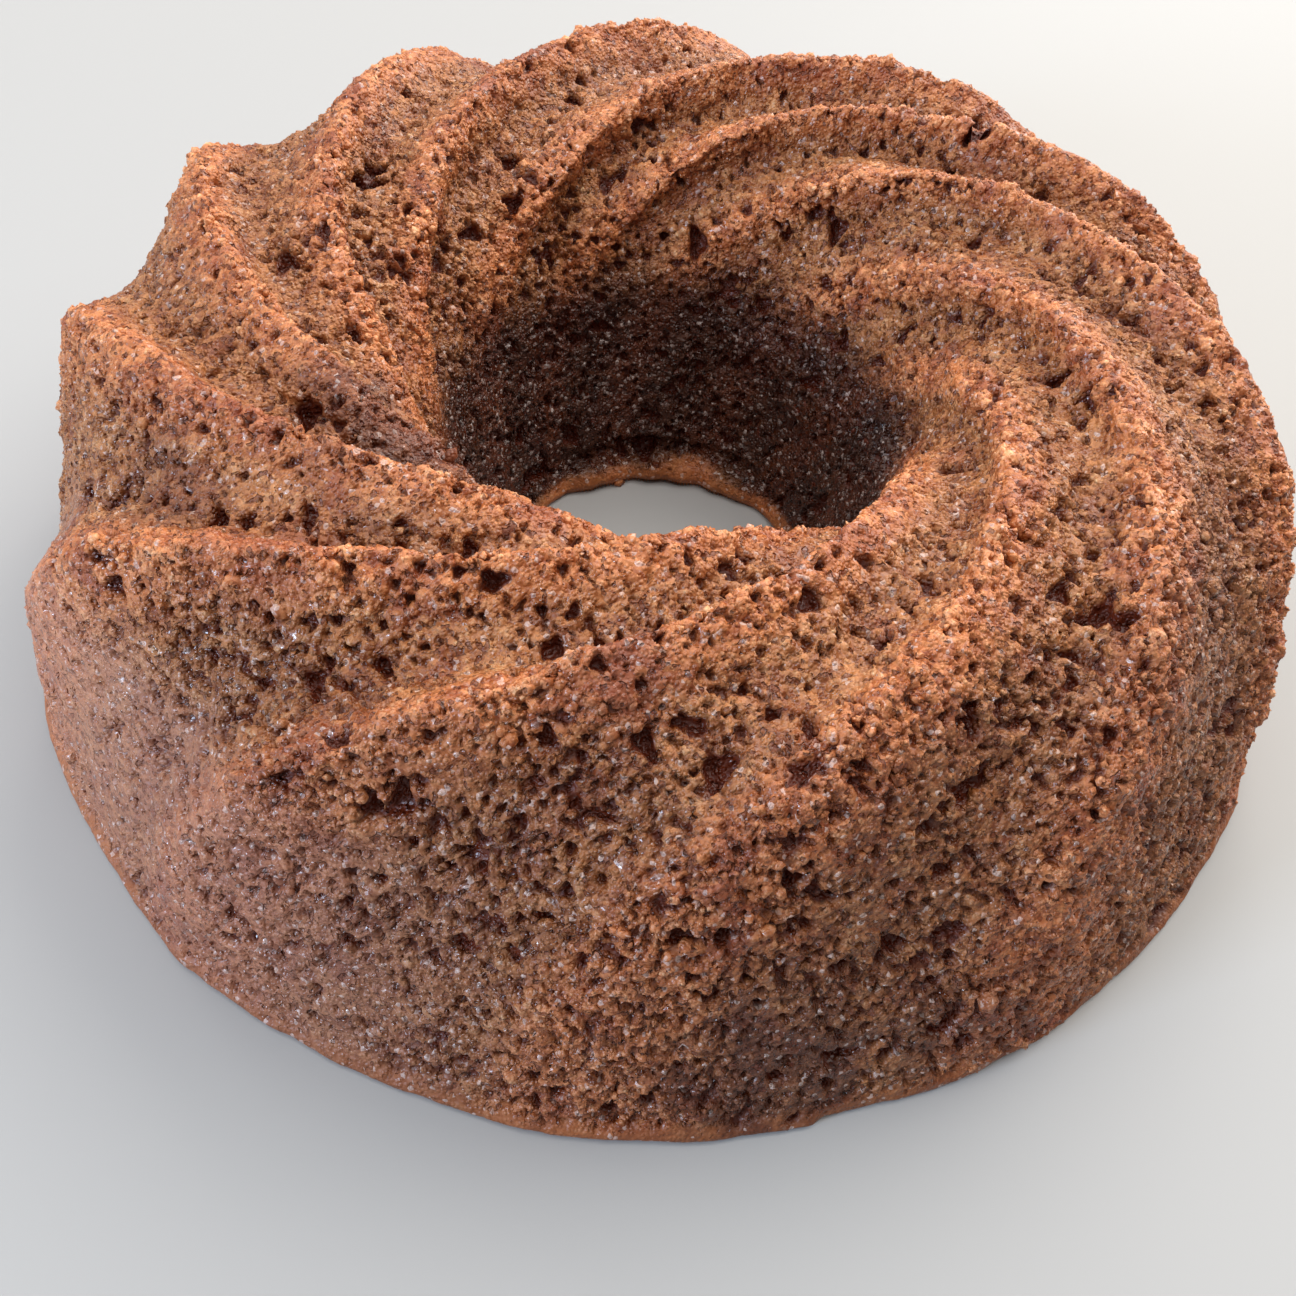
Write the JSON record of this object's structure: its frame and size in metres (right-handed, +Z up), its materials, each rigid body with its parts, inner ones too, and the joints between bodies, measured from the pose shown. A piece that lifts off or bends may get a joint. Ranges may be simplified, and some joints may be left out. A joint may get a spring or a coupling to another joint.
{
  "type": "yogurt ring cake",
  "caption": "Uncut brown ring cake with swirled ridges, a funnel-shaped centre hole, a porous crumb crust and a flat base.",
  "frame": {"origin": "middle of the flat underside's box, on the surface that the cake stands on", "axes": "+Z up along the hole; -Y towards the side that the picture shows in front; +X to that side's right"},
  "size_m": [0.2176, 0.2174, 0.067],
  "materials": {
    "cake_crust": "porous brown baked crumb, orange-brown on the crests, darker in the valleys and the hole, slightly moist"
  },
  "bodies": {
    "root": {"cake": "cake_crust"}
  },
  "joints": []
}
